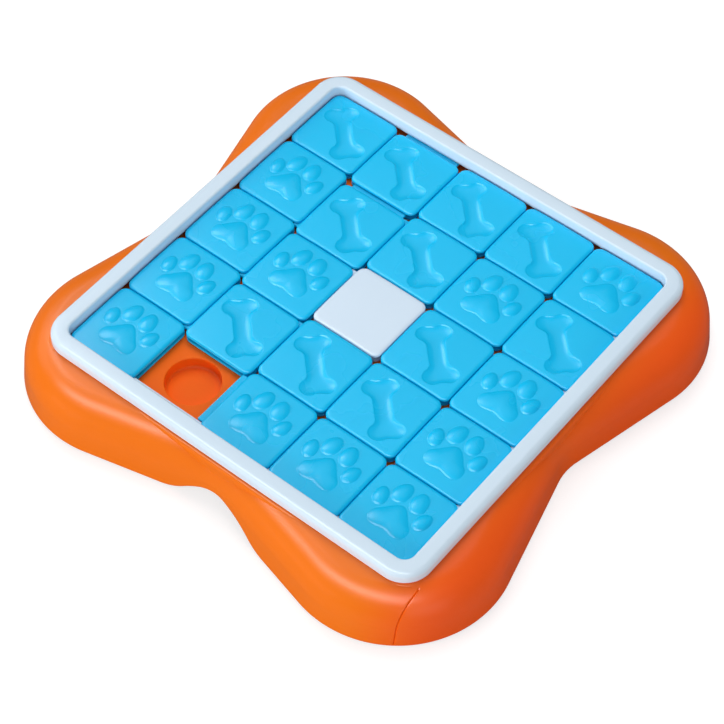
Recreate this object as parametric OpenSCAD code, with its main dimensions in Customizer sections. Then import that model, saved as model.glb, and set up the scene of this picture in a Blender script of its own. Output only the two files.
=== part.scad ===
// Dog puzzle feeder: a lobed tray with treat wells, a framed field of interlocking
// sliding tiles, and one empty cell to slide them through.
// Origin: centre of the footprint on the floor, +Z up, columns run along X and rows along Y.

/* [Tiles] */
// Distance from one tile centre to the next
tile_pitch = 48; // [45:0.5:52]
// Gap between neighbouring tiles
tile_gap = 0.5; // [0.3:0.1:1]
// Height of a tile
tile_h = 6.7; // [6.3:0.1:8.5]
// Gap between the deck and the tiles that slide on it
tile_lift = 0.3; // [0.2:0.05:0.5]
// Radius of a tile's upright corners
tile_corner_r = 4.8; // [4:0.2:6]
// Radius of a tile's rounded top edge
tile_edge_r = 1.1; // [0.6:0.1:1.5]
// Thickness of a tile's top above the pocket in its underside
tile_top_t = 3.4; // [3:0.1:4.5]
// Thickness of a tile's side walls behind the groove
tile_side_t = 7.5; // [6.5:0.5:10]

/* [Tile interlock] */
// How far a tongue reaches out of its tile
tongue_reach = 4; // [3:0.25:4.5]
// Thickness of a tongue
tongue_t = 1.8; // [1.2:0.1:2]
// Thickness of the lip under a groove
groove_lip_t = 1.6; // [1.2:0.1:2]
// Clearance above, below and at the ends of a tongue
tongue_clear = 0.3; // [0.2:0.05:0.5]

/* [Raised paw] */
// Height of the paw above the tile
paw_rise = 1.3; // [0.6:0.1:1.6]
// Width of the paw's big pad
paw_pad_w = 24.7; // [18:0.1:27]
// Width of the two middle toes
paw_toe_w = 9.6; // [7:0.1:10]
// Length of the two middle toes
paw_toe_l = 13.8; // [11:0.1:15]

/* [Recessed bone] */
// Depth of the bone below the tile top
bone_depth = 2; // [0.8:0.1:2.4]
// Length of the bone from end to end
bone_l = 41; // [34:0.5:42]
// Width of the bone's shaft
bone_shaft_w = 10.4; // [7:0.1:12]
// Radius of the knobs at its ends
bone_knob_r = 5.7; // [4.5:0.1:6.5]

/* [Frame] */
// Gap between the outer tiles and the frame
field_play = 0.85; // [0.5:0.05:1.5]
// Width of the frame seen from above
rim_w = 10.4; // [9.5:0.1:13]
// Height of the frame above the tile tops
rim_rise = 5.4; // [4:0.1:8]
// Radius of the frame's outer corners
rim_corner_r = 17; // [15.5:0.5:22]
// Radius of the frame's outer top edge
rim_outer_edge_r = 3.4; // [1.5:0.1:3.6]
// Radius of the frame's inner top edge
rim_inner_edge_r = 2.2; // [1:0.1:3]

/* [Base] */
// Overall width across the lobes
base_w = 317; // [310:1:330]
// Width between opposite waists
waist_w = 277.2; // [274:0.2:284]
// Radius of each lobe in plan
lobe_r = 65.5; // [62:0.5:70]
// Radius of each waist in plan
waist_r = 36; // [25:1:60]
// Radius of the rounded shoulder
shoulder_r = 20; // [14:0.5:22]
// Slope of the outer wall from upright, in degrees
wall_draft = 7; // [4:0.5:9]
// Thickness of the outer wall
wall_t = 2.6; // [2:0.1:3.2]
// Gap between the floor and the lower edge of the wall
skirt_gap = 1.2; // [0.8:0.1:2]
// Height of the deck that the tiles slide on
deck_z = 28; // [26:0.5:32]
// Thickness of the deck
deck_t = 2.4; // [1.8:0.1:3]
// Height of the land that carries the frame, above the deck
land_rise = 5; // [4.8:0.1:6]
// How far the land reaches past the frame
land_margin = 1.4; // [0.8:0.1:2.5]

/* [Treat wells] */
// Diameter of a treat well
well_d = 32; // [24:0.5:36]
// Depth of a treat well below the deck
well_depth = 7.4; // [5:0.2:10]
// Wall and floor thickness of a well's cup
cup_t = 2; // [1.4:0.1:2.6]

/* [Finger arches] */
// Width of the arch in the lower edge at a waist
arch_w = 76; // [60:1:84]
// Height of the arch above the wall's lower edge
arch_h = 11.4; // [8:0.2:13]
// Radius of the arch's crown
arch_crown_r = 44; // [34:1:56]
// How far the arch sits to one side of the waist's middle
arch_shift = 7; // [0:1:10]

/* [Ribs, screws and feet] */
// Thickness of the ribs under the deck
rib_t = 1.6; // [1.2:0.1:2.2]
// Height of the ribs under the deck
rib_h = 6.5; // [4:0.5:9]
// Shank diameter of the frame screws
screw_d = 3; // [2.5:0.1:3.2]
// Length of a frame screw under its head
screw_l = 15; // [14:0.5:15.5]
// Head diameter of the frame screws
screw_head_d = 5.6; // [5:0.1:6]
// Head height of the frame screws
screw_head_h = 2; // [1.6:0.1:2.4]
// Diameter of a rubber foot's pad
foot_d = 18; // [16:0.5:20]
// Thickness of a foot's pad
foot_pad_t = 1.6; // [1.2:0.1:2]
// Diameter of the plug that holds a foot in its socket
foot_plug_d = 13.6; // [11:0.2:14]
// Length of a foot's plug
foot_plug_l = 7; // [5:0.5:10]

/* [Slid column] */
// How far the three front tiles beside the empty cell have slid towards it
slid_gap = 5.5; // [0:0.5:6]
// How far the last tile of that column has slid
lag_gap = 2.5; // [2:0.5:3.5]

/* [Hidden] */
$fn = 96;
eps = 0.01;

// Colours
tile_blue = "deepskyblue";
tile_white = "aliceblue";
frame_white = "lightsteelblue";
tray_orange = "darkorange";

// The field: five columns and rows, numbered from the lower left corner
span = 5;
middle = (span - 1) / 2;
tile_w = tile_pitch - tile_gap;
tile_z = deck_z + tile_lift;
tile_top = tile_z + tile_h;
field_half = middle * tile_pitch + tile_w / 2 + field_play;

// Tongues and grooves; every groove is open at both ends
groove_z = tile_z + groove_lip_t;
groove_h = tongue_t + 2 * tongue_clear;
groove_depth = tongue_reach + tongue_clear + 0.1;
tongue_z = groove_z + tongue_clear;
tongue_inset = tongue_reach + 2 * tongue_clear;

// Frame heights and plan
rim_top = tile_top + rim_rise;
rim_half = field_half + rim_w;
rim_centre = rim_half - rim_corner_r;
rim_inner_r = rim_corner_r - rim_w;
land_z = deck_z + land_rise;
lip_z = groove_z + groove_h;
rail_reach = tongue_reach - tongue_clear / 2;
recess_play = 0.3;
recess_half = field_half + tongue_reach;
skirt_half = recess_half - recess_play;
land_half = rim_half + land_margin;
land_edge_r = 1;

// Plan of the base: lobe arcs and waist arcs joined by straight flanks
lobe_c = base_w / 2 - lobe_r;
waist_c = waist_w / 2 + waist_r;
arc_gap = norm([lobe_c, lobe_c - waist_c]);
flank_l = sqrt(pow(arc_gap, 2) - pow(lobe_r + waist_r, 2));
flank_turn = atan2(lobe_c - waist_c, lobe_c) + acos(-(lobe_r + waist_r) / arc_gap);
waist_sweep = 2 * (flank_turn - 90);
// Straight walls, flanks and waists are sunk by a hair, so that each ends inside its neighbour
lap = 0.08;
flank_lap = 4;

// Wall profile: x is the distance inward from the plan outline, y the height
land_step = 0.4;
body_top = land_z - land_step;
// The shoulder's arc is cut off this far below its highest point, where the flat top begins
shoulder_trim = 0.05;
shoulder_z = body_top + shoulder_trim - shoulder_r;
shoulder_x = (shoulder_z - skirt_gap) * tan(wall_draft) + shoulder_r / cos(wall_draft);
wall_top = [shoulder_x - shoulder_r * cos(wall_draft), shoulder_z + shoulder_r * sin(wall_draft)];

// Screws
screw_axis = (recess_half + rim_half) / 2;
screw_station = 1.5 * tile_pitch;
screw_clear = 0.2;
pilot_clear = 0.1;
boss_r = screw_d / 2 + screw_clear + 2.3;
screw_bite = 4.6;
boss_z = land_z + screw_bite - screw_l;
head_z = boss_z - screw_head_h;
head_clear = 0.3;

// Feet
foot_at = lobe_c + lobe_r * 0.47;
foot_wall = 2;
foot_clear = 0.1;
foot_socket_l = deck_z - deck_t - 2 - foot_pad_t;

// What each cell holds: its name, column, row, relief and slide towards the empty cell
TILES = [
    ["paw_tile_a1", 0, 0, "paw", 0], ["paw_tile_a2", 0, 1, "paw", 0],
    ["paw_tile_a3", 0, 2, "paw", 0], ["paw_tile_a4", 0, 3, "paw", 0],
    ["bone_tile_a5", 0, 4, "bone", 0],
    ["bone_tile_b2", 1, 1, "bone", slid_gap], ["paw_tile_b3", 1, 2, "paw", slid_gap],
    ["bone_tile_b4", 1, 3, "bone", slid_gap], ["bone_tile_b5", 1, 4, "bone", lag_gap],
    ["paw_tile_c1", 2, 0, "paw", 0], ["bone_tile_c2", 2, 1, "bone", 0],
    ["centre_tile", 2, 2, "plain", 0], ["bone_tile_c4", 2, 3, "bone", 0],
    ["bone_tile_c5", 2, 4, "bone", 0],
    ["paw_tile_d1", 3, 0, "paw", 0], ["bone_tile_d2", 3, 1, "bone", 0],
    ["bone_tile_d3", 3, 2, "bone", 0], ["paw_tile_d4", 3, 3, "paw", 0],
    ["bone_tile_d5", 3, 4, "bone", 0],
    ["paw_tile_e1", 4, 0, "paw", 0], ["paw_tile_e2", 4, 1, "paw", 0],
    ["paw_tile_e3", 4, 2, "paw", 0], ["bone_tile_e4", 4, 3, "bone", 0],
    ["paw_tile_e5", 4, 4, "paw", 0]
];
FEET = [["foot_front_left", -1, -1], ["foot_front_right", 1, -1],
        ["foot_back_left", -1, 1], ["foot_back_right", 1, 1]];

// Cell number to position
function cell(n) = (n - middle) * tile_pitch;

// ---- shared shapes ----

// A square with rounded corners, lying on the XY plane
module rounded_square(half, r) {
    square([2 * half, 2 * (half - r)], center = true);
    square([2 * (half - r), 2 * half], center = true);
    for (x = [-1, 1], y = [-1, 1]) translate([x, y] * (half - r)) circle(r);
}

module rounded_prism(half, r, z, h) {
    translate([0, 0, z]) linear_extrude(h) rounded_square(half, r);
}

// A 2D profile, x outward from the corner centre and y up, run round a rounded square
module run_round(centre) {
    for (turn = [0:90:270]) rotate(turn) {
        translate([centre, centre]) rotate_extrude(angle = 90) children();
        translate([0, centre]) rotate([90, 0, 90])
            linear_extrude(2 * centre, center = true) children();
    }
}

// ---- tiles ----

// Upright side and rounded top edge of a tile, from its corner centre outward
module tile_edge_profile() {
    square([tile_corner_r, tile_h - tile_edge_r]);
    square([tile_corner_r - tile_edge_r, tile_h]);
    translate([tile_corner_r - tile_edge_r, tile_h - tile_edge_r]) circle(tile_edge_r);
}

module tile_block() {
    centre = tile_w / 2 - tile_corner_r;
    run_round(centre) tile_edge_profile();
    translate([-centre, -centre, 0]) cube([2 * centre, 2 * centre, tile_h]);
}

// Tongues on the left and far sides, grooves along the right and near sides
module tile_tongues() {
    length = tile_w - 2 * tongue_inset;
    for (turn = [90, 180]) rotate(turn)
        translate([tile_w / 2 - 1, -length / 2, tongue_z - tile_z])
            cube([tongue_reach + 1, length, tongue_t]);
}

module tile_grooves() {
    for (turn = [0, -90]) rotate(turn)
        translate([tile_w / 2 - groove_depth, -tile_w, groove_z - tile_z])
            cube([groove_depth + 1, 2 * tile_w, groove_h]);
}

module tile_pocket() {
    half = tile_w / 2 - tile_side_t;
    translate([0, 0, -1])
        linear_extrude(tile_h - tile_top_t + 1) rounded_square(half, tile_corner_r / 2);
}

// A shallow dome, or with a length l a long domed pill, whose rim lies on z = 0
module dome(w, rise, l = 0) {
    r = (pow(w / 2, 2) + pow(rise, 2)) / (2 * rise);
    run = max(l - w, 0);
    translate([0, 0, rise - r]) {
        for (end = [-1, 1]) translate([0, end * run / 2, 0]) sphere(r);
        if (run > 0) rotate([90, 0, 0]) cylinder(r = r, h = run, center = true);
    }
}

// A big three-lobed pad, two middle toes that lean together and two outer toes that splay outward
module paw_relief() {
    lobe_w = paw_pad_w * 0.54;
    outer_w = paw_toe_w * 0.88;
    outer_l = paw_toe_l * 0.88;
    size = tile_w - 2 * tile_edge_r;
    intersection() {
        translate([0, 0, tile_h]) {
            translate([0, -1.8, 0]) dome(paw_pad_w * 0.5, paw_rise);
            translate([0, -6.2, 0]) dome(paw_pad_w * 0.66, paw_rise);
            for (side = [-1, 1]) {
                translate([side * (paw_pad_w - lobe_w) / 2, -8.7, 0]) dome(lobe_w, paw_rise * 0.9);
                translate([side * 5.7, 11, 0]) rotate(side * 9)
                    dome(paw_toe_w, paw_rise, paw_toe_l);
                translate([side * 13.9, 2.7, 0]) rotate(-side * 13) dome(outer_w, paw_rise, outer_l);
            }
        }
        translate([-size / 2, -size / 2, tile_h - 0.3]) cube([size, size, paw_rise + 1]);
    }
}

// The bone lies along the diagonal from the far left to the near right corner
module bone_cutter() {
    knob_at = [bone_knob_r * 0.92, bone_l / 2 - bone_knob_r];
    translate([0, 0, tile_h]) mirror([0, 0, 1]) rotate(45) {
        dome(bone_shaft_w, bone_depth, bone_l - bone_knob_r);
        for (end = [-1, 1]) translate([0, end * knob_at.y, 0]) {
            rotate(90) dome(1.7 * bone_knob_r, bone_depth * 0.85, 2 * knob_at.x + bone_knob_r);
            for (side = [-1, 1]) translate([side * knob_at.x, 0, 0])
                dome(2 * bone_knob_r, bone_depth * 0.9);
        }
    }
}

module puzzle_tile(tile) {
    relief = tile[3];
    color(relief == "plain" ? tile_white : tile_blue)
    translate([cell(tile[1]), cell(tile[2]) - tile[4], tile_z]) {
        difference() {
            tile_block();
            tile_grooves();
            tile_pocket();
            if (relief == "bone") bone_cutter();
        }
        tile_tongues();
        if (relief == "paw") paw_relief();
    }
}

// ---- frame ----

// Cross-section of the frame, x outward from the corner centre
module frame_profile() {
    outer_x = rim_corner_r - rim_outer_edge_r;
    inner_x = rim_inner_r + rim_inner_edge_r;
    edge_z = rim_top - max(rim_outer_edge_r, rim_inner_edge_r);
    difference() {
        translate([rim_inner_r, land_z]) square([rim_w, rim_top - land_z]);
        translate([outer_x, rim_top - rim_outer_edge_r]) square(rim_outer_edge_r + 1);
        translate([rim_inner_r - 1, rim_top - rim_inner_edge_r]) square(rim_inner_edge_r + 1);
    }
    translate([outer_x, rim_top - rim_outer_edge_r]) circle(rim_outer_edge_r);
    translate([inner_x, rim_top - rim_inner_edge_r]) circle(rim_inner_edge_r);
    translate([rim_inner_r, lip_z])
        square([skirt_half - field_half, land_z - lip_z + eps]);
}

// Rails that run in the grooves of the tiles along the right and near sides
module frame_rails() {
    tip = field_half - field_play - rail_reach;
    for (turn = [0, -90]) rotate(turn) {
        translate([tip, -rim_centre, tongue_z])
            cube([field_half - tip + 1, 2 * rim_centre, tongue_t]);
        translate([field_half, -rim_centre, tongue_z])
            cube([skirt_half - field_half, 2 * rim_centre, lip_z - tongue_z + 1]);
    }
}

module frame_ring() {
    color(frame_white) difference() {
        union() {
            run_round(rim_centre) frame_profile();
            frame_rails();
        }
        at_screws() translate([0, 0, land_z - 1])
            cylinder(d = screw_d + 2 * pilot_clear, h = 1 + screw_bite + pilot_clear, $fn = 32);
    }
}

// ---- base ----

// Lower end of the body, or of the cavity in it, which starts a little below the wall's edge
function body_low(inset) = inset > 0 ? skirt_gap - 1 : skirt_gap;

// Inward profile of the wall and shoulder up to a depth; inset moves it into the wall.
// It rises past the flat top, which is cut afterwards
module wall_profile(inset, depth) {
    low = body_low(inset);
    high = land_z + 2;
    sunk = inset + lap;
    foot_x = sunk / cos(wall_draft) + (low - skirt_gap) * tan(wall_draft);
    intersection() {
        union() {
            polygon([[foot_x, low], wall_top + sunk * [cos(wall_draft), -sin(wall_draft)],
                     [shoulder_x, shoulder_z], [shoulder_x, high], [depth, high], [depth, low]]);
            translate([shoulder_x, shoulder_z]) circle(shoulder_r - inset);
        }
        translate([0, low]) square([depth, high - low]);
    }
}

// The lobed body: a round lobe at each corner, joined by straight flanks and hollow waists
module lobed_body(inset) {
    depth = lobe_r - 5;
    core = lobe_c - 4;
    low = body_low(inset);
    top = body_top - inset;
    intersection() {
        union() {
            for (turn = [0:90:270]) rotate(turn) {
                translate([lobe_c, lobe_c]) rotate_extrude()
                    translate([lobe_r, 0]) mirror([1, 0]) wall_profile(inset, lobe_r);
                translate([0, waist_c]) rotate(270 - waist_sweep / 2)
                    rotate_extrude(angle = waist_sweep)
                        translate([waist_r + 2 * lap, 0]) wall_profile(inset, depth);
                for (flip = [0, 1]) mirror([flip, 0, 0])
                    translate([lobe_c, lobe_c]) rotate(flank_turn) translate([lobe_r - lap, 0, 0])
                        rotate([90, 0, 180]) linear_extrude(flank_l + flank_lap)
                            wall_profile(inset, depth);
            }
            translate([-core, -core, low]) cube([2 * core, 2 * core, top - low]);
        }
        translate([-base_w, -base_w, low - 1]) cube([2 * base_w, 2 * base_w, top - low + 1]);
    }
}

// Square land under the frame, with a rounded upper edge
module land_block() {
    centre = rim_centre;
    r = land_half - centre;
    low = deck_z - deck_t;
    run_round(centre) {
        translate([0, low]) square([r, land_z - low - land_edge_r]);
        translate([0, low]) square([r - land_edge_r, land_z - low]);
        translate([r - land_edge_r, land_z - land_edge_r]) circle(land_edge_r);
    }
    translate([-centre, -centre, low]) cube([2 * centre, 2 * centre, land_z - low]);
}

module at_wells() {
    for (i = [0:span - 1], j = [0:span - 1]) translate([cell(i), cell(j), 0]) children();
}

module at_screws() {
    for (turn = [0:90:270], side = [-1, 1])
        rotate(turn) translate([screw_axis, side * screw_station, 0]) children();
}

module at_feet() {
    for (foot = FEET) translate([foot[1] * foot_at, foot[2] * foot_at, 0]) children();
}

// Ribs between the wells, whose ends stop at the screw heads
module ribs() {
    reach = screw_axis + screw_head_d / 2;
    for (turn = [0, 90], n = [0:span - 2]) rotate(turn)
        translate([cell(n + 0.5) - rib_t / 2, -reach, deck_z - deck_t - rib_h])
            cube([rib_t, 2 * reach, rib_h + 1]);
}

// A round crown that runs out into the wall's lower edge over two easy slopes on each side
module arch_outline() {
    knee = [0.38 * arch_w, 0.17 * arch_h];
    shelf = [0.237 * arch_w, 0.57 * arch_h];
    polygon([[-arch_w / 2, 0], [-arch_w / 2, -3], [arch_w / 2, -3], [arch_w / 2, 0], knee, shelf,
             [-shelf.x, shelf.y], [-knee.x, knee.y]]);
    intersection() {
        translate([0, arch_h - arch_crown_r]) circle(arch_crown_r);
        translate([-arch_w / 2, shelf.y - arch_h]) square([arch_w, 2 * arch_h]);
    }
}

module finger_arches() {
    for (turn = [0, 180]) rotate(turn)
        translate([arch_shift, 20 - waist_w / 2, skirt_gap])
            rotate([90, 0, 0]) linear_extrude(40) arch_outline();
}

module base_shell() {
    difference() {
        union() {
            lobed_body(0);
            land_block();
        }
        difference() {
            lobed_body(wall_t);
            rounded_prism(land_half, land_half - rim_centre, deck_z - deck_t, land_rise + deck_t);
        }
        rounded_prism(recess_half, recess_half - rim_centre, deck_z, land_rise + 1);
        finger_arches();
    }
}

module base_tray() {
    color(tray_orange) difference() {
        union() {
            base_shell();
            ribs();
            at_wells() translate([0, 0, deck_z - well_depth - cup_t])
                cylinder(d = well_d + 2 * cup_t, h = well_depth + cup_t - 1);
            at_screws() translate([0, 0, boss_z])
                cylinder(r = boss_r, h = deck_z - boss_z, $fn = 48);
            at_feet() translate([0, 0, foot_pad_t])
                cylinder(d = foot_plug_d + 2 * (foot_clear + foot_wall), h = deck_z - foot_pad_t - 1);
        }
        at_wells() translate([0, 0, deck_z - well_depth]) cylinder(d = well_d, h = well_depth + 1);
        at_screws() translate([0, 0, boss_z - 1])
            cylinder(d = screw_d + 2 * screw_clear, h = land_z - boss_z + 2, $fn = 32);
        at_screws() translate([0, 0, boss_z - rib_h])
            cylinder(d = screw_head_d + 2 * head_clear, h = rib_h, $fn = 48);
        at_feet() translate([0, 0, foot_pad_t - 1])
            cylinder(d = foot_plug_d + 2 * foot_clear, h = foot_socket_l + 1);
    }
}

// ---- screws and feet ----

module frame_screw() {
    slot_w = 0.8;
    slot_l = screw_head_d * 0.7;
    difference() {
        union() {
            translate([0, 0, head_z]) cylinder(d = screw_head_d, h = screw_head_h, $fn = 32);
            translate([0, 0, boss_z - eps]) cylinder(d = screw_d, h = screw_l + eps, $fn = 32);
        }
        for (turn = [0, 90]) rotate(turn) translate([0, 0, head_z])
            cube([slot_l, slot_w, screw_head_h], center = true);
    }
}

module frame_screw_set() {
    color("silver") at_screws() frame_screw();
}

module rubber_foot(foot) {
    edge_r = foot_pad_t / 2;
    color("dimgray") translate([foot[1] * foot_at, foot[2] * foot_at, 0]) {
        rotate_extrude() {
            square([foot_d / 2 - edge_r, foot_pad_t]);
            translate([foot_d / 2 - edge_r, edge_r]) intersection() {
                circle(edge_r);
                translate([0, -edge_r]) square([edge_r, 2 * edge_r]);
            }
        }
        cylinder(d = foot_plug_d, h = foot_pad_t + foot_plug_l);
    }
}

base_tray();
frame_ring();  // frame
frame_screw_set();  // frame_screws
for (foot = FEET) rubber_foot(foot);
for (tile = TILES) puzzle_tile(tile);
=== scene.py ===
import bpy
from math import cos, sin
import numpy as np
from mathutils import Matrix, Vector


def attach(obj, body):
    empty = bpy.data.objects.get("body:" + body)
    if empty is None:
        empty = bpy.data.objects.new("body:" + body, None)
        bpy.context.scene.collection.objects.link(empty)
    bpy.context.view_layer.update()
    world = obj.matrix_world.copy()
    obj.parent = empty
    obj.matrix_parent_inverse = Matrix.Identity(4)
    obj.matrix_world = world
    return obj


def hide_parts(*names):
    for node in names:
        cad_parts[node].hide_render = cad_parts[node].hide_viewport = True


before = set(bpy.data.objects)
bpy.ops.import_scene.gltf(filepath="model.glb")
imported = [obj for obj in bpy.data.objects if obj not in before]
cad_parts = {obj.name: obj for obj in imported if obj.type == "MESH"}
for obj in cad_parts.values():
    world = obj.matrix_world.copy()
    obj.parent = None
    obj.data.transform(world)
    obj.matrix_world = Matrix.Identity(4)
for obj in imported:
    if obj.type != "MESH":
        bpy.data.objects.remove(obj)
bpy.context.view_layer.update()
print("frame loaded:", len(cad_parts), "nodes")

mm = 0.001                # all sizes below are in millimetres and degrees; addPiece turns them to metres
layout = {
    "pitch": 48.0, "columns": "abcde", "rows": 5, "empty": "b1",
    "bones": "a5 b2 b4 b5 c2 c4 c5 d2 d3 d5 e4".split(),
    "slid": {"b2": 5.5, "b3": 5.5, "b4": 5.5, "b5": 2.5},   # towards the empty cell
}


# Small tools

quarterTurns = np.array([(1, 0), (0, 1), (-1, 0), (0, -1)])       # cos and sin of 0, 90, 180 and 270 degrees
cornerSigns = np.array([(1, 1), (-1, 1), (-1, -1), (1, -1)])      # anticlockwise from +X +Y


# degrees to radians, pi d / 180
def rad(degrees):
    return np.radians(degrees)


# a at t = 0 and b at t = 1: a + (b - a) t
def mix(a, b, t):
    return a + (b - a) * t


# 3t^2 - 2t^3 between 0 and 1
def smooth(t):
    t = np.clip(t, 0, 1)
    return t * t * (3 - 2 * t)


# signed distance to a rounded square: |max(q, 0)| + min(max(qx, qy), 0) - r, with q = |p| - half + r
def squareDistance(x, y, half, corner):
    qx, qy = np.abs(x) - half + corner, np.abs(y) - half + corner
    return np.hypot(np.maximum(qx, 0), np.maximum(qy, 0)) + np.minimum(np.maximum(qx, qy), 0) - corner


# faces of a rows x cols grid, where point (r, c) is number r cols + c; around joins the last column
# to the first
def quads(rows, cols, around=False):
    r, c = np.meshgrid(np.arange(rows - 1), np.arange(cols if around else cols - 1), indexing="ij")
    d = (c + 1) % cols
    return np.stack([r * cols + c, r * cols + d, (r + 1) * cols + d, (r + 1) * cols + c], -1).reshape(-1, 4)


# a grid of points (rows, cols, 3) as one sheet
def surface(points, around=False, flip=False):
    rows, cols = points.shape[:2]
    faces = quads(rows, cols, around)
    return points.reshape(-1, 3), [faces[:, ::-1] if flip else faces]


# closed rings (rows, cols, 3) as one skin; a cap is a fan to the ring's centre
def capped(points, capFirst=True, capLast=True, flip=False):
    rows, cols = points.shape[:2]
    flat = points.reshape(-1, 3)
    faces = [quads(rows, cols, True)]
    c = np.arange(cols)
    for use, row in ((capFirst, 0), (capLast, rows - 1)):
        if use:
            centre = len(flat)
            flat = np.vstack([flat, flat[row * cols:(row + 1) * cols].mean(0)])
            a, b = row * cols + c, row * cols + (c + 1) % cols
            fan = np.stack([b, a, np.full(cols, centre)], -1)
            faces.append(fan if row == 0 else fan[:, ::-1])
    return flat, [f[:, ::-1] if flip else f for f in faces]


# the same part moved: p + offset
def placed(part, offset):
    return part[0] + np.asarray(offset, float), part[1]


# the same part turned about Z by quarters of a turn: (c x - s y, s x + c y)
def turned(part, quarters):
    c, s = quarterTurns[quarters % 4]
    p = part[0]
    return np.stack([c * p[:, 0] - s * p[:, 1], s * p[:, 0] + c * p[:, 1], p[:, 2]], -1), part[1]


# joins parts into one mesh in metres, faces outward, smooth but for edges over the sharp angle;
# points whose coordinates round to the same multiple of weld become one
def addPiece(name, parts, material, body, nodes, sharp=32, weld=0.0):
    points, faces, start = [], [], 0
    for p, fs in parts:
        points.append(p)
        faces += [f + start for f in fs]
        start += len(p)
    points = np.vstack(points)
    if weld:
        cells = np.round(points / weld).astype(np.int64)
        _, first, back = np.unique(cells, axis=0, return_index=True, return_inverse=True)
        points, back = points[first], back.reshape(-1)
        faces = [back[f] for f in faces]
    loops, sizes = [], []
    for f in faces:
        if f.shape[1] == 4:                       # a quad with two equal corners becomes a triangle
            same = f == np.roll(f, -1, axis=1)
            whole = ~same.any(1)
            loops.append(f[whole].ravel())
            sizes.append(np.full(whole.sum(), 4))
            for k in range(4):
                thin = f[same[:, k] & (same.sum(1) == 1)]
                tri = np.delete(thin, k, axis=1)
                loops.append(tri.ravel())
                sizes.append(np.full(len(tri), 3))
        else:
            good = (f[:, 0] != f[:, 1]) & (f[:, 1] != f[:, 2]) & (f[:, 2] != f[:, 0])
            loops.append(f[good].ravel())
            sizes.append(np.full(good.sum(), 3))
    loops, sizes = np.concatenate(loops), np.concatenate(sizes)
    mesh = bpy.data.meshes.new(name)
    mesh.vertices.add(len(points))
    mesh.vertices.foreach_set("co", (points * mm).astype(np.float32).ravel())
    mesh.loops.add(len(loops))
    mesh.loops.foreach_set("vertex_index", loops.astype(np.int32))
    mesh.polygons.add(len(sizes))
    starts = np.concatenate([[0], np.cumsum(sizes)[:-1]])
    mesh.polygons.foreach_set("loop_start", starts.astype(np.int32))
    mesh.polygons.foreach_set("loop_total", sizes.astype(np.int32))
    mesh.update(calc_edges=True)
    mesh.validate()
    mesh.shade_smooth()
    mesh.set_sharp_from_angle(angle=rad(sharp))
    mesh.materials.append(material)
    piece = bpy.data.objects.new(name, mesh)
    bpy.context.scene.collection.objects.link(piece)
    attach(piece, body)
    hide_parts(*nodes)
    return piece


# a square anticlockwise, as anchor points and unit outward normals n = (cos a, sin a): at a corner the anchor
# stays and a turns by 90 degrees, along a side the anchor moves and a stays
def squarePath(half, arcSteps, sideSteps):
    anchors, normals = [], []
    for k in range(4):
        a = rad(90 * k + np.linspace(0, 90, arcSteps + 1))
        corner, following = cornerSigns[k] * half, cornerSigns[(k + 1) % 4] * half
        anchors.append(np.repeat(corner[None], arcSteps + 1, 0))
        normals.append(np.stack([np.cos(a), np.sin(a)], -1))
        t = np.linspace(0, 1, sideSteps + 1)[1:-1, None]
        anchors.append(mix(corner, following, t))
        normals.append(np.repeat(normals[-1][-1:], sideSteps - 1, 0))
    return np.vstack(anchors), np.vstack(normals)


# profile (x out from the anchors, z) carried round a square: p = anchor + x n
def sweepSquare(profile, half, arcSteps, sideSteps):
    anchors, normals = squarePath(half, arcSteps, sideSteps)
    profile = np.asarray(profile, float)
    xy = anchors[None] + profile[:, None, :1] * normals[None]
    z = np.repeat(profile[:, 1][:, None], xy.shape[1], 1)
    return np.dstack([xy, z])


# profile (radius, z) turned about a vertical axis: x = r cos a, y = r sin a
def turn(profile, steps, centre=(0, 0)):
    profile = np.asarray(profile, float)
    a = np.linspace(0, 2 * np.pi, steps, endpoint=False)
    r, z = profile[:, 0][:, None], profile[:, 1][:, None]
    return np.dstack([centre[0] + r * np.cos(a), centre[1] + r * np.sin(a), z + 0 * a])


# points of an arc about (cx, cy): c + r (cos a, sin a)
def arc(cx, cy, r, start, end, steps):
    a = rad(np.linspace(start, end, steps + 1))
    return np.stack([cx + r * np.cos(a), cy + r * np.sin(a)], -1)


# profile (y, z), anticlockwise, pushed along X: p = (x, y, z) for x from 0 to length
def bar(profile, length, steps):
    profile = np.asarray(profile, float)
    x = np.linspace(0, length, steps + 1)
    p = np.zeros((len(x), len(profile), 3))
    p[..., 0] = x[:, None]
    p[..., 1:] = profile[None]
    return p


# Materials

# sRGB hex to linear RGBA: ((c + 0.055) / 1.055)^2.4, or c / 12.92 near black
def linear(code):
    c = np.array([int(code[i:i + 2], 16) for i in (0, 2, 4)]) / 255
    c = np.where(c <= 0.04045, c / 12.92, ((c + 0.055) / 1.055) ** 2.4)
    return (*[float(v) for v in c], 1.0)


# one shader node; a socket's value is a constant or another node's output
def addNode(tree, kind, sockets=None, **settings):
    node = tree.nodes.new(kind)
    for key, value in settings.items():
        setattr(node, key, value)
    for key, value in (sockets or {}).items():
        if isinstance(value, bpy.types.NodeSocket):
            tree.links.new(value, node.inputs[key])
        else:
            node.inputs[key].default_value = value
    return node


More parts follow.
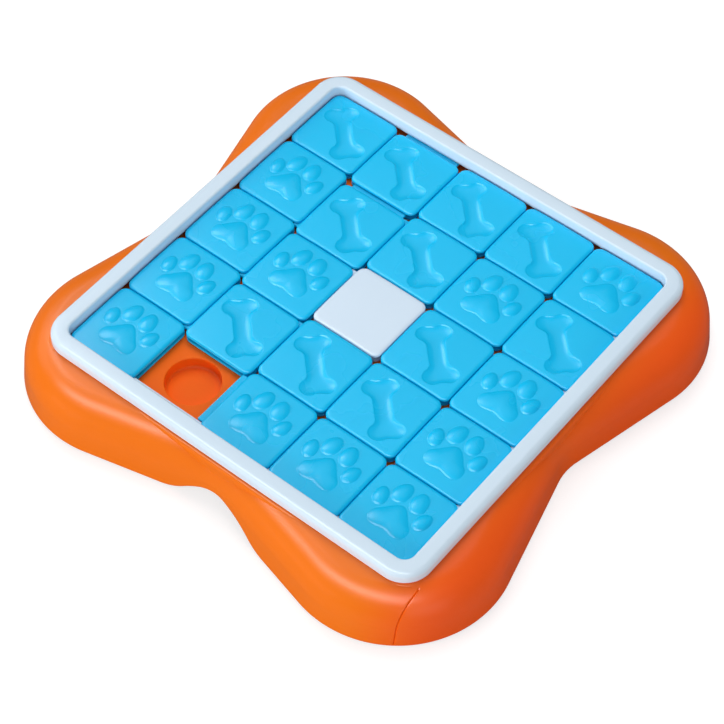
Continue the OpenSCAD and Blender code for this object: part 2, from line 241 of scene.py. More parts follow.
# base colour that clouds slowly between dark and light, blended along X towards a redder tone as painted
# shade where paintedShade
#  is given, roughness rough +- roughSpread, and the fine grain of the mould or plating as bump.
# Noise w mm wide has the scale 1000 / w, because object coordinates are in metres
def grainedFinish(name, values, paintedShade=None):
    material = bpy.data.materials.new(name)
    material.use_nodes = True
    tree = material.node_tree
    tree.nodes.clear()
    out = addNode(tree, "ShaderNodeOutputMaterial")
    where = addNode(tree, "ShaderNodeTexCoord").outputs["Object"]
    cloud = addNode(tree, "ShaderNodeTexNoise", {
        "Vector": where, "Scale": 1000 / values["cloudMm"], "Detail": 3.0})
    grain = addNode(tree, "ShaderNodeTexNoise", {
        "Vector": where, "Scale": 1000 / values["grainMm"], "Detail": 2.0})
    stops = addNode(tree, "ShaderNodeValToRGB", {"Fac": cloud.outputs["Fac"]})
    stops.color_ramp.elements[0].color = linear(values["dark"])
    stops.color_ramp.elements[1].color = linear(values["light"])
    colour = stops.outputs["Color"]
    # painted shade: the colour is blended along X towards a redder tone, standing in for the shade on the
    # side away from the key light
    if paintedShade:
        along = addNode(tree, "ShaderNodeSeparateXYZ", {"Vector": where})
        share = addNode(tree, "ShaderNodeMapRange", {
            "Value": along.outputs["X"], "From Min": paintedShade["from"] * mm, "From Max": paintedShade["to"] * mm,
            "To Max": paintedShade["share"]}, interpolation_type="SMOOTHSTEP")
        shadeBlend = addNode(tree, "ShaderNodeMixRGB", {
            "Fac": share.outputs[0], "Color1": colour, "Color2": linear(paintedShade["colour"])})
        colour = shadeBlend.outputs["Color"]
    low, high = values["rough"] - values["roughSpread"], values["rough"] + values["roughSpread"]
    rough = addNode(tree, "ShaderNodeMapRange", {
        "Value": cloud.outputs["Fac"], "To Min": low, "To Max": high})
    bump = addNode(tree, "ShaderNodeBump", {
        "Height": grain.outputs["Fac"], "Strength": values["grainStrength"],
        "Distance": values["grainDepth"] * mm})
    shader = addNode(tree, "ShaderNodeBsdfPrincipled", {
        "Base Color": colour, "Roughness": rough.outputs[0], "Normal": bump.outputs["Normal"],
        "IOR": values.get("ior", plasticIor), "Specular IOR Level": values.get("specular", 0.5),
        "Metallic": values.get("metal", 0.0)})
    tree.links.new(shader.outputs[0], out.inputs["Surface"])
    return material


# cloudMm is how wide the slow tint changes are, and grainMm the mould's grain: a real one is about 0.1 mm,
# too fine to show, so it is drawn 2 to 9 times as coarse
plasticIor = 1.49                                     # as polypropylene's; a metal keeps the shader's own 1.5
finish = {
    "tray": {"dark": "e86e07", "light": "ec7309", "rough": 0.31, "roughSpread": 0.03, "cloudMm": 60,
             "grainMm": 0.5, "grainStrength": 0.25, "grainDepth": 0.03},
    # the deck's orange is redder than the tray's: painted shade for the deep wells
    "deck": {"dark": "fb680c", "light": "fd6d0e", "rough": 0.62, "roughSpread": 0.04, "cloudMm": 40,
             "grainMm": 0.5, "grainStrength": 0.3, "grainDepth": 0.03, "specular": 0.2},
    "tile": {"dark": "00bef1", "light": "04c2f5", "rough": 0.27, "roughSpread": 0.03, "cloudMm": 45,
             "grainMm": 0.6, "grainStrength": 0.35, "grainDepth": 0.03},
    "frame": {"dark": "ccdfee", "light": "d4e6f4", "rough": 0.25, "roughSpread": 0.02, "cloudMm": 80,
              "grainMm": 0.9, "grainStrength": 0.08, "grainDepth": 0.02},
    "centre": {"dark": "cfe2f3", "light": "d6e7f6", "rough": 0.24, "roughSpread": 0.02, "cloudMm": 40,
               "grainMm": 0.6, "grainStrength": 0.1, "grainDepth": 0.02},
    "foot": {"dark": "1f1f21", "light": "29292b", "rough": 0.68, "roughSpread": 0.05, "cloudMm": 6,
             "grainMm": 0.3, "grainStrength": 0.4, "grainDepth": 0.04},
    "screw": {"dark": "9b9fa3", "light": "b4b8bc", "rough": 0.28, "roughSpread": 0.06, "cloudMm": 2,
              "grainMm": 0.2, "grainStrength": 0.15, "grainDepth": 0.01, "metal": 1.0, "ior": 1.5},
}
# painted shade: the tray's orange turns redder towards +X, standing in for the shade on the side away from
# the key light
paintedShade = {"from": 104.0, "to": 150.0, "share": 0.85, "colour": "f3500c"}         # redder towards +X

# matt from the spark-eroded cores of the mould, so the wells stay even and don't glitter; its orange is
# redder than the tray's
#  as painted shade in the deep wells
deckPlastic = grainedFinish("sparkErodedOrangeWithPaintedWellShade", finish["deck"])
# satin, so the shoulders carry wide soft highlights; the +X side is turned redder as painted shade
trayPlastic = grainedFinish("injectionMouldedOrangeWithPaintedShade", finish["tray"], paintedShade)
# satin with a faint grain, so the tops catch a haze and their edges a thin line of light
tilePlastic = grainedFinish("injectionMouldedAbsBlue", finish["tile"])
# smooth and glossy, cool white, with crisp reflections along its rounded edges
framePlastic = grainedFinish("polishedMouldAbsWhite", finish["frame"])
# the same white, a little bluer
centrePlastic = grainedFinish("injectionMouldedAbsWhite", finish["centre"])
# matt and nearly black
footRubber = grainedFinish("mouldedThermoplasticRubber", finish["foot"])
# bright grey metal with a slight cloudiness
screwSteel = grainedFinish("zincPlatedSteel", finish["screw"])
print("materials made")


# Tiles

tile = {
    "half": 23.75, "corner": 4.8, "edge": 1.5, "edgeWide": 2.2, "crown": 0.7, "top": 35.0, "bottom": 28.3,
    "grid": 0.38, "edgeSteps": 9,
    "core": 19.0, "fade": 0.5, "fadePast": 0.2,                           # the relief ends with the flat top
    "grooveTop": 32.3, "grooveBottom": 29.9, "grooveWall": 19.35, "lip": 0.3,
    "tongueTop": 32.0, "tongueBottom": 30.2, "tongueRoot": 22.4, "tongueTip": 27.75, "tongueHalf": 19.15,
    "tongueEdge": 0.3,
    "pocketHalf": 16.25, "pocketCorner": 2.4, "pocketTop": 31.6,          # hollow under the tile
}
paw = {
    "rise": 1.3, "toeRise": 1.3, "power": 0.72, "moat": 0.06, "moatWidth": 0.42, "moatAt": 0.15,
    "pad": (0.0, -6.0), "spread": 16,
    "angles": (-90, -71, -56, -43, -28, -14, 0, 15, 32, 56, 75, 90),      # about the pad's centre, one side
    "radii": (6.9, 7.8, 9.8, 11.8, 13.0, 12.6, 11.6, 9.4, 8.5, 8.7, 9.9, 10.6),
    "toes": ((13.9, 2.7, 4.1, 6.1, 13), (5.7, 11.0, 4.8, 6.9, -9)),       # x, y, half sizes, lean outward
    "taper": 0.1,
}
bone = {
    "centre": (0.35, -0.65), "turn": -45, "end": 14.9, "across": 5.0, "knob": 5.3, "bridge": 4.8,
    "handle": 5.2, "notchBlend": 1.4, "neckBlend": 3.2, "depth": 1.6, "level": 4.0, "rim": 0.3,
    "rimWide": 0.45, "step": 0.25, "long": 22.5, "wide": 12.5, "rounds": 3000,
}


# from the middle of a side (s = 0) to the diagonal (s = 1) of a rounded square, by length:
# straight to half - corner, then r (cos a, sin a) about the corner's centre
def eighth(half, corner, s):
    straight = half - corner
    length = s * (straight + corner * np.pi / 4)
    a = np.maximum(length - straight, 0) / np.maximum(corner, 1e-6)
    onArc = length > straight
    x = np.where(onArc, straight + corner * np.cos(a), half)
    y = np.where(onArc, straight + corner * np.sin(a), length)
    return x, y


# grid index (i, j) on the square ring max(|i|, |j|) to the rounded square of that half and corner
def squareMap(i, j, half, corner):
    m = np.maximum(np.abs(i), np.abs(j))
    s = np.minimum(np.abs(i), np.abs(j)) / np.maximum(m, 1)
    far, near = eighth(half, corner, s)
    wide = np.abs(i) >= np.abs(j)
    return np.sign(i) * np.where(wide, far, near), np.sign(j) * np.where(wide, near, far)


# indices of the outer ring of a grid -n..n, anticlockwise from the corner (n, -n)
def ringIndex(n):
    up, full = np.arange(-n, n), np.full(2 * n, n)
    return np.concatenate([full, -up, -full, up]), np.concatenate([up, full, -up, -full])


# domes rise (1 - q^2)^p over the pad and four toes, with a fine moat exp(-(d / w)^2) round each; q is 0 at a
# dome's centre and 1 on its outline. The pad's radius is read by angle and smoothed with a bell exp(-t^2)
def pawHeight(x, y):
    even = np.linspace(-90, 90, 361)              # every half degree
    radius = np.interp(even, paw["angles"], paw["radii"])
    bell = np.exp(-(np.linspace(-2, 2, 2 * paw["spread"] + 1) ** 2))
    bell /= bell.sum()
    radius = np.convolve(np.pad(radius, paw["spread"], mode="reflect"), bell, mode="valid")
    dx, dy = x - paw["pad"][0], y - paw["pad"][1]
    reach = np.interp(np.degrees(np.arctan2(dy, np.abs(dx))), even, radius)
    far = np.hypot(dx, dy)
    shapes = [(far / reach, far - reach, paw["rise"])]
    for cx, cy, b, a, lean in paw["toes"]:
        for side in (-1, 1):
            c, s = np.cos(rad(-side * lean)), np.sin(rad(-side * lean))
            px, py = x - side * cx, y - cy
            across, along = c * px + s * py, -s * px + c * py
            wide = b * (1 - paw["taper"] * along / a)
            q = np.hypot(across / wide, along / a)
            shapes.append((q, (q - 1) * b, paw["toeRise"]))
    z = np.zeros_like(x)
    for q, d, rise in shapes:
        moat = paw["moat"] * np.exp(-((d - paw["moatAt"]) / paw["moatWidth"]) ** 2)
        z += rise * np.clip(1 - q * q, 0, 1) ** paw["power"] - moat
    return z


# smooth minimum of two distances: mix(a, b, t) - k t (1 - t), t = 1/2 + (a - b) / 2k
def joined(a, b, k):
    t = np.clip(0.5 + 0.5 * (a - b) / k, 0, 1)
    return mix(a, b, t) - k * t * (1 - t)


# distance to the bone's edge on |u|, |v|: a round knob at each corner, a bridge between two knobs, the handle
def boneOutline(u, v):
    knob = np.hypot(u - bone["end"], v - bone["across"]) - bone["knob"]
    bridge = np.maximum(np.abs(u - bone["end"]) - bone["bridge"], v - bone["across"])
    handle = np.maximum(u - bone["end"], v - bone["handle"])
    return joined(handle, joined(knob, bridge, bone["notchBlend"]), bone["neckBlend"])


# a quarter of the bone as a skin under even pressure: laplacian h = -1 inside, h = 0 on the outline, found by
# repeating h = (the four neighbours + step^2) / 4
def inflate():
    step = bone["step"]
    u, v = np.meshgrid(np.arange(0, bone["long"], step), np.arange(0, bone["wide"], step), indexing="ij")
    inside = boneOutline(u, v) < 0
    h = np.zeros_like(u)
    for _ in range(bone["rounds"]):
        e = np.pad(h, 1, mode="reflect")          # mirrored on both axes; the far edges stay at 0
        around = e[2:, 1:-1] + e[:-2, 1:-1] + e[1:-1, 2:] + e[1:-1, :-2]
        h = np.where(inside, (around + step ** 2) / 4, 0)
    return h


# the skin's depth is 1 in the handle's middle and levels out in the knobs, h / (1 + h^n)^(1/n)
boneSkin = inflate()
boneSkin /= boneSkin[0, 0]
boneSkin /= (1 + boneSkin ** bone["level"]) ** (1 / bone["level"])


# a crisp step at the edge, r s(d / w), and inside it a trough (D - r) h, where h is the inflated skin
def boneHeight(x, y):
    c, s = np.cos(rad(bone["turn"])), np.sin(rad(bone["turn"]))
    px, py = x - bone["centre"][0], y - bone["centre"][1]
    px, py = np.abs(c * px + s * py), np.abs(-s * px + c * py)
    u = np.minimum(px / bone["step"], boneSkin.shape[0] - 1.001)
    v = np.minimum(py / bone["step"], boneSkin.shape[1] - 1.001)
    i, j = u.astype(int), v.astype(int)
    low = mix(boneSkin[i, j], boneSkin[i + 1, j], u - i)
    high = mix(boneSkin[i, j + 1], boneSkin[i + 1, j + 1], u - i)
    step = bone["rim"] * smooth(-boneOutline(px, py) / bone["rimWide"])
    return -step - (bone["depth"] - bone["rim"]) * mix(low, high, v - j)


# the top is a little crowned: it falls c (x^2 + y^2) / 2 f^2 from the middle, f being half the flat's width
def crown(x, y):
    flat = tile["half"] - tile["edgeWide"]
    return tile["crown"] * (np.minimum(np.abs(x) / flat, 1) ** 2 + np.minimum(np.abs(y) / flat, 1) ** 2) / 2


# top grid with relief, edge rounding and sides with two open grooves, pocket below, two tongues.
# The top is z = top - crown + relief, and past the flat an arc (w sin a, e (1 - cos a)) leads down the side
def tileParts(relief):
    flat = tile["half"] - tile["edgeWide"]
    count = int(flat / tile["grid"])
    a = rad(np.linspace(0, 90, tile["edgeSteps"] + 1))[1:]
    halves = np.concatenate([np.arange(count + 1) * flat / count, flat + tile["edgeWide"] * np.sin(a)])
    heights = np.concatenate([np.full(count + 1, tile["top"]), tile["top"] - tile["edge"] * (1 - np.cos(a))])
    corners = np.maximum(halves - (tile["half"] - tile["corner"]), 0)
    n = len(halves) - 1
    i, j = np.meshgrid(np.arange(-n, n + 1), np.arange(-n, n + 1), indexing="ij")
    m = np.maximum(np.abs(i), np.abs(j))
    x, y = squareMap(i, j, halves[m], corners[m])
    z = heights[m] - crown(x, y)
    if relief:
        past = squareDistance(x, y, flat, flat - tile["core"])
        z = z + relief(x, y) * smooth((tile["fadePast"] - past) / tile["fade"])
    top = surface(np.dstack([x, y, z]))
    i, j = ringIndex(n)
    lip, wall, shoulder, free = tile["lip"], tile["grooveWall"], tile["top"] - tile["edge"], tile["half"] + 1
    rings = [(0, shoulder, free), (0, tile["grooveTop"] + lip, free),     # inset, level, limit on +X and -Y
             (0, tile["grooveTop"], tile["half"] - lip), (0, tile["grooveTop"], wall),
             (0, tile["grooveBottom"], wall), (0, tile["grooveBottom"], tile["half"] - lip),
             (0, tile["grooveBottom"] - lip, free), (0, tile["bottom"] + lip, free),
             (lip, tile["bottom"], free)]
    rows = []
    for inset, level, limit in rings:
        px, py = squareMap(i, j, tile["half"] - inset, tile["corner"] - inset)
        fall = crown(px, py) if level == shoulder else 0
        pz = np.full(len(px), level) - fall
        rows.append(np.stack([np.minimum(px, limit), np.maximum(py, -limit), pz], -1))
    for grow, level in ((lip, tile["bottom"]), (0, tile["bottom"] + lip), (0, tile["pocketTop"])):
        px, py = squareMap(i, j, tile["pocketHalf"] + grow, tile["pocketCorner"] + grow)
        rows.append(np.stack([px, py, np.full(len(px), level)], -1))
    side = capped(np.stack(rows), capFirst=False, flip=True)
    e, t0, t1 = tile["tongueEdge"], tile["tongueBottom"], tile["tongueTop"]
    section = np.array([(tile["tongueRoot"], t0), (tile["tongueTip"] - e, t0), (tile["tongueTip"], t0 + e),
                        (tile["tongueTip"], t1 - e), (tile["tongueTip"] - e, t1), (tile["tongueRoot"], t1)])
    middle = section.mean(0)
    small = middle + (section - middle) * (1 - 2 * e / (section.max(0) - section.min(0)))
    half = tile["tongueHalf"]
    tongue = np.zeros((4, len(section), 3))
    tongue[:, :, 0] = np.array([-half, -half + e, half - e, half])[:, None]
    tongue[:, :, 1:] = [small, section, section, small]
    tongue = capped(tongue)
    return [top, side, tongue, turned(tongue, 1)]


tileKinds = {"paw": tileParts(pawHeight), "bone": tileParts(boneHeight), "centre": tileParts(None)}
for column, letter in enumerate(layout["columns"]):
    for row in range(layout["rows"]):
        cell = letter + str(row + 1)
        if cell == layout["empty"]:
            continue
        kind = "centre" if cell == "c3" else "bone" if cell in layout["bones"] else "paw"
        node = "centre_tile" if kind == "centre" else f"{kind}_tile_{cell}"
        slid = layout["slid"].get(cell, 0)
        offset = ((column - 2) * layout["pitch"], (row - 2) * layout["pitch"] - slid, 0)
        addPiece(kind + "Tile_" + cell, [placed(p, offset) for p in tileKinds[kind]],
                 centrePlastic if kind == "centre" else tilePlastic,
                 "tile_" + cell if cell in layout["slid"] else "tray", [node],
                 sharp=30, weld=0.002)
print("tiles made")


# Lobed tray

shell = {
    "lobeAt": 93.0, "lobe": 65.5, "waistAt": 174.6, "waist": 36.0,      # outline arcs, centre and radius
    "bottom": 1.2, "wall": 2.6, "draft": 7.0, "top": 32.6, "endHalf": 130.0, "lipRound": 0.9,
    "shoulder": 20.0, "shoulderIn": 21.556, "shoulderUp": 12.65,        # section arc, radius and centre
    "archFrom": 100.0, "archHalf": 38.0, "archTall": 11.4, "archCrown": 44.0, "archShift": 7.0,
    "lobeSteps": 120, "flankSteps": 62, "waistSteps": 18, "outerRows": 44, "innerRows": 16, "lipRows": 5,
}
seam = {                          # the mould's parting groove down the front lobe, in a plane across X
    "lobe": 3, "x": 132.0, "from": 15.3, "fade": 0.4, "depth": 0.65, "halfWidth": 0.45,
    "swing": 45.0, "near": 0.9,                                         # columns within 45 degrees lean to it
    "columns": (-0.75, -0.4, -0.2, 0.0, 0.2, 0.4, 0.75),                # its own columns, along X
    "clear": 0.019,                                                     # radians kept free for them
}
land = {                          # level ledge under the frame, with a rounded outer edge
    "centre": 114.0, "half": 133.3, "inner": 124.6, "seat": 33.0, "seatHalf": 130.6, "top": 32.63,
    "bottom": 24.0, "edge": 2.2, "edgeSteps": 10, "arcSteps": 18, "sideSteps": 24,
}


# outline points P and outward normals n: lobe arcs C + r n, straight flanks tangent to lobe and waist,
# and waist arcs C' - r' n, whose centre is outside; weight is 1 at the seam and fades out to both sides of it
def lobedPath():
    apart = np.array([shell["waistAt"] - shell["lobeAt"], -shell["lobeAt"]])
    reach = (shell["lobe"] + shell["waist"]) / np.hypot(*apart)
    flank = np.degrees(np.arctan2(apart[1], apart[0]) + np.arccos(reach))
    fine = 2 * np.pi - np.arccos((seam["x"] + np.array(seam["columns"]) - shell["lobeAt"]) / shell["lobe"])
    points, normals, weights = [], [], []
    for k in range(4):
        a = rad(np.linspace(flank, 90 - flank, shell["lobeSteps"] + 1) + 90 * k)
        weight = np.zeros(len(a))
        if k == seam["lobe"]:
            a = np.sort(np.concatenate([a[np.abs(a - fine.mean()) > seam["clear"]], fine]))
            weight = smooth(1 - np.abs(a - fine.mean()) / rad(seam["swing"]))
        n = np.stack([np.cos(a), np.sin(a)], -1)
        lobe = cornerSigns[k] * shell["lobeAt"] + shell["lobe"] * n
        b = rad(np.linspace(90 - flank, 90 + flank, shell["waistSteps"] + 1) + 90 * k)
        m = np.stack([np.cos(b), np.sin(b)], -1)
        waist = quarterTurns[(k + 1) % 4] * shell["waistAt"] - shell["waist"] * m
        t = np.linspace(0, 1, shell["flankSteps"] + 1)[1:-1, None]
        after = cornerSigns[(k + 1) % 4] * shell["lobeAt"] + shell["lobe"] * m[-1]
        points += [lobe, mix(lobe[-1], waist[0], t), waist, mix(waist[-1], after, t)]
        normals += [n, np.repeat(n[-1:], len(t), 0), m, np.repeat(m[-1:], len(t), 0)]
        weights += [weight, np.zeros(2 * len(t) + len(m))]
    return np.vstack(points), np.vstack(normals), np.concatenate(weights)


# point (inset, z) at a length up the wall: a line at the draft angle d, then the shoulder's arc
# (o - r cos a, up + r sin a) from a = d on, then level; thick moves it inward along its normal
def shellProfile(length, thick=0.0):
    d = rad(shell["draft"])
    r, o, up = shell["shoulder"], shell["shoulderIn"], shell["shoulderUp"]
    wall = (up + r * np.sin(d) - shell["bottom"]) / np.cos(d)
    level = np.arcsin((shell["top"] - up) / r)
    a = np.clip(d + (length - wall) / r, d, level)
    past = np.maximum(length - wall - r * (level - d), 0)
    below = np.minimum(length - wall, 0)
    inset = o - r * np.cos(a) + below * np.sin(d) + past
    z = up + r * np.sin(a) + below * np.cos(d)
    return inset + thick * np.cos(a), np.minimum(z, shell["top"]) - thick * np.sin(a)


# root of f for whole arrays, f below zero at low and above it at high: the middle (low + high) / 2 takes the
# place of the end whose sign it has, steps times
def halve(f, low, high, steps=34):
    for _ in range(steps):
        middle = (low + high) / 2
        under = f(middle) < 0
        low, high = np.where(under, middle, low), np.where(under, high, middle)
    return (low + high) / 2


# finger arch over the lower edge of the two waists across Y: a crown arc of radius R up to u = R sin a,
# then a foot arc of radius h / sin a - R bent the other way; they meet where tan(a / 2) = tall / half
def archHeight(x, y):
    half, tall, over = shell["archHalf"], shell["archTall"], shell["archCrown"]
    a = 2 * np.arctan(tall / half)
    under = half / np.sin(a) - over
    u = np.abs(-x * np.sign(y) - shell["archShift"])
    top = tall - over + np.sqrt(np.maximum(over ** 2 - u * u, 0))
    run = under - np.sqrt(np.maximum(under ** 2 - np.clip(half - u, 0, under) ** 2, 0))
    inside = np.where(u < over * np.sin(a), top, np.where(u < half, run, 0))
    return np.where(np.abs(y) < shell["archFrom"], 0, inside)


# the moulded skin: every column runs up the outside, into the land, and back down the inside. On the front
# lobe the columns swing with the seam, whose angle is acos(dx / (R - inset)), and the seam itself is a groove
# pressed inward. The lip is the curve p (1 - t)^2 + 2 q t (1 - t) + s t^2, and the land a stepped bar on top
def shellParts():
    path, normal, weight = lobedPath()
    zero = np.zeros(len(path))
    hub = path - shell["lobe"] * normal

    def aim(inset):
        inset = np.minimum(inset, seam["from"])
        return np.arccos((seam["x"] - shell["lobeAt"]) / (shell["lobe"] - inset))

    def at(length, thick, groove=False):
        inset, z = shellProfile(length, thick)
        swing = weight * (aim(0.0) - aim(np.maximum(inset, 0)))
        c, s = np.cos(swing), np.sin(swing)
        n = np.stack([c * normal[:, 0] - s * normal[:, 1], s * normal[:, 0] + c * normal[:, 1]], -1)
        xy = hub + (shell["lobe"] - inset)[:, None] * n
        if groove:
            near = smooth(1 - np.abs(xy[:, 0] - seam["x"]) / seam["halfWidth"]) * (weight > seam["near"])
            near = near * smooth(seam["from"] + seam["fade"] - inset)
            sunk, z = shellProfile(length, thick + seam["depth"] * near)
            xy = hub + (shell["lobe"] - sunk)[:, None] * n
        return xy[:, 0], xy[:, 1], z

    def aboveArch(length, thick):
        x, y, z = at(length, thick)
        return z - shell["bottom"] - archHeight(x, y)

    def inLand(length):
        x, y, z = at(length, 0)
        return -squareDistance(x, y, shell["endHalf"], shell["endHalf"] - land["centre"])

    first = halve(lambda l: aboveArch(l, 0), zero - 0.5, zero + 30)               # lengths between limits
    firstIn = halve(lambda l: aboveArch(l, shell["wall"]), zero - 0.5, zero + 30)
    last = halve(inLand, first, zero + 90)

    def row(length, thick=0.0, groove=False):
        return np.stack(at(length, thick, groove), -1)

    edge, edgeIn = row(first), row(firstIn, shell["wall"])
    start, under = row(first + shell["lipRound"]), mix(edge, edgeIn, shell["lipRound"] / shell["wall"])
    lips = [start * (1 - t) ** 2 + edge * 2 * t * (1 - t) + under * t * t
            for t in np.linspace(1, 0, shell["lipRows"] + 1)]
    outer = [row(mix(first + shell["lipRound"], last, t), 0.0, True)
             for t in np.linspace(0, 1, shell["outerRows"] + 1)[1:]]
    inner = [row(mix(last, firstIn, t), shell["wall"]) for t in np.linspace(0, 1, shell["innerRows"] + 1)]
    skin = surface(np.stack(lips + outer + inner + lips[:1]), around=True)
    c, e = land["centre"], land["edge"]
    out, ledge, back = land["half"] - c, land["seatHalf"] - c, land["inner"] - c
    section = np.vstack([[(out, land["bottom"])],
                         arc(out - e, land["top"] - e, e, 0, 90, land["edgeSteps"]),
                         [(ledge, land["top"]), (ledge, land["seat"]), (back, land["seat"]),
                          (back, land["bottom"]), (out, land["bottom"])]])
    block = surface(sweepSquare(section, c, land["arcSteps"], land["sideSteps"]), around=True)
    return [skin, block]


addPiece("lobedShell", shellParts(), trayPlastic, "tray", ["base_tray"], sharp=34, weld=0.002)

well = {
    "radius": 16.0, "floor": 20.6, "rim": 0.6, "fillet": 1.7, "cup": 18.0, "cupBottom": 18.6, "cupEdge": 0.8,
    "deck": 28.0, "under": 25.6, "border": 125.6, "collar": 1.2, "cupRoot": 0.8, "cupFlare": 0.2,
    "inner": (0.5, 0.15), "cupInner": 0.5, "sideSteps": 18, "rimSteps": 5, "filletSteps": 7, "cupSteps": 4,
}
rib = {"at": (-72, -24, 24, 72), "thick": 1.6, "bottom": 19.1, "top": 25.9, "reach": 130.6, "edge": 0.3}
boss = {"out": 127.8, "along": 72, "radius": 4.0, "hole": 1.7, "bottom": 22.6, "top": 27.0, "edge": 0.3,
        "steps": 32}
bossSpots = [(s * boss["out"], t * boss["along"]) for s in (-1, 1) for t in (-1, 1)] \
    + [(t * boss["along"], s * boss["out"]) for s in (-1, 1) for t in (-1, 1)]
socket = {"at": 123.785, "radius": 8.9, "bore": 6.9, "bottom": 1.6, "top": 27.0, "boreTop": 23.6, "edge": 0.4,
          "middle": 0.4, "steps": 48}


# rings (radius or None for the square, z) of one cell: the side parameter t in -1..1 gives the square's
# point (half, half t) and the circle's angle 45 t
def cellGrid(rings, half):
    steps = well["sideSteps"]
    t = np.linspace(-1, 1, steps + 1)[:-1]
    square, circle = [], []
    for k, (c, s) in enumerate(quarterTurns):
        x, y = np.full(steps, half), half * t
        square.append(np.stack([c * x - s * y, s * x + c * y], -1))
        a = rad(45 * t + 90 * k)
        circle.append(np.stack([np.cos(a), np.sin(a)], -1))
    square, circle = np.vstack(square), np.vstack(circle)
    rows = []
    for radius, z in rings:
        xy = square if radius is None else radius * circle
        rows.append(np.column_stack([xy, np.full(len(xy), z)]))
    return np.stack(rows)


# 25 wells and cups in a thin deck, ribs and bosses below it, and the four tubes for the feet: each well is a
# stack of rings, rim arc and bottom fillet among them, and ribs and tubes are profiles pushed or turned
def deckParts():
    pitch, r, e, f = layout["pitch"], well["radius"], well["rim"], well["fillet"]
    b, ce, deck, floor, under = well["cup"], well["cupEdge"], well["deck"], well["floor"], well["under"]
    upper = [(None, deck), (r + e + well["collar"], deck),
             *arc(r + e, deck - e, e, 90, 180, well["rimSteps"]),
             *arc(r - f, floor + f, f, 0, -90, well["filletSteps"]),
             *[(r * share, floor) for share in well["inner"]]]
    lower = [(None, under), (b + well["cupRoot"], under), (b + well["cupFlare"], under - well["cupFlare"]),
             (b, under - well["cupRoot"]), *arc(b - ce, well["cupBottom"] + ce, ce, 0, -90, well["cupSteps"]),
             (b * well["cupInner"], well["cupBottom"])]
    above = capped(cellGrid(upper, pitch / 2), capFirst=False)
    below = capped(cellGrid(lower, pitch / 2), capFirst=False, flip=True)
    parts = []
    for i in range(-2, 3):
        for j in range(-2, 3):
            parts += [placed(above, (pitch * i, pitch * j, 0)), placed(below, (pitch * i, pitch * j, 0))]
    steps, field = layout["rows"] * well["sideSteps"], layout["rows"] / 2 * pitch
    t = np.linspace(-1, 1, steps + 1)[:-1]
    loops = []
    for size, z in ((field, deck), (well["border"], deck), (well["border"], under), (field, under)):
        x, y = np.full(steps, size), size * t
        loops.append(np.vstack([np.stack([c * x - s * y, s * x + c * y, np.full(steps, z)], -1)
                                for c, s in quarterTurns]))
    parts.append(surface(np.stack(loops), around=True, flip=True))
    g, h, low, high = rib["thick"] / 2, rib["edge"], rib["bottom"], rib["top"]
    section = np.array([(-g, high), (-g, low + h), (-g + h, low), (g - h, low), (g, low + h), (g, high)])
    beam = placed(capped(bar(section, 2 * rib["reach"], 2)), (-rib["reach"], 0, 0))
    for at in rib["at"]:
        parts += [placed(beam, (0, at, 0)), placed(turned(beam, 1), (at, 0, 0))]
    o, i, q, low, high = boss["radius"], boss["hole"], boss["edge"], boss["bottom"], boss["top"]
    ring = [(i, high), (i, low + q), (i + q, low), (o - q, low), (o, low + q), (o, high), (i, high)]
    parts += [surface(turn(ring, boss["steps"], spot), around=True) for spot in bossSpots]
    o, i, q, low, high = socket["radius"], socket["bore"], socket["edge"], socket["bottom"], socket["top"]
    m = socket["middle"]
    tube = [(m, socket["boreTop"]), (i, socket["boreTop"]), (i, low + q), (i + q, low),
            (o - q, low), (o, low + q), (o, high), (m, high)]
    for sx in (-1, 1):
        for sy in (-1, 1):
            parts.append(capped(turn(tube, socket["steps"], (sx * socket["at"], sy * socket["at"]))))
    return parts


addPiece("wellDeck", deckParts(), deckPlastic, "tray", ["base_tray"], sharp=34, weld=0.002)
print("tray made")


# Frame

rim = {
    "centre": 114.0, "inner": 120.6, "outer": 131.0, "bottom": 33.0, "top": 40.4, "outerEdge": 3.4,
    "innerEdge": 1.3, "skirt": 124.3, "skirtBottom": 32.35, "chamfer": 0.35,
    "outerSteps": 12, "innerSteps": 10, "arcSteps": 22, "sideSteps": 30,
    "railTip": 115.9, "railTop": 32.0, "railBottom": 30.2, "railHalf": 114.0, "railRoot": 120.6,
    "railBlock": 124.3, "railEdge": 0.3, "railSunk": 0.2,                 # sunk a little into the ring
}


# rounded section, two quarter arcs on a low skirt, swept round the square, and the two rails that stand in
# for the outer tiles' tongues, pushed along X and along Y
def frameParts():
    c, z0, z1, low = rim["centre"], rim["bottom"], rim["top"], rim["skirtBottom"]
    x0, x1, skirt = rim["inner"] - c, rim["outer"] - c, rim["skirt"] - c
    a, b, f = rim["outerEdge"], rim["innerEdge"], rim["chamfer"]
    section = np.vstack([[(skirt, low), (skirt, z0), (x1 - f, z0), (x1, z0 + f)],
                         arc(x1 - a, z1 - a, a, 0, 90, rim["outerSteps"]),
                         arc(x0 + b, z1 - b, b, 90, 180, rim["innerSteps"]), [(x0, low), (skirt, low)]])
    ring = surface(sweepSquare(section, c, rim["arcSteps"], rim["sideSteps"]), around=True)
    e, sunk, z0, z1 = rim["railEdge"], rim["railSunk"], rim["railBottom"], rim["railTop"]
    tip, root, back = -rim["railTip"], -rim["railRoot"] - sunk, -rim["railBlock"]
    section = np.array([(back, z0), (tip - e, z0), (tip, z0 + e), (tip, z1 - e), (tip - e, z1), (root, z1),
                        (root, low + sunk), (back, low + sunk)])
    half = rim["railHalf"]
    rail = placed(capped(bar(section, 2 * half, 2)), (-half, 0, 0))
    return [ring, rail, turned(rail, 1)]


addPiece("fieldFrame", frameParts(), framePlastic, "tray", ["frame"], sharp=34, weld=0.002)


# Feet and screws

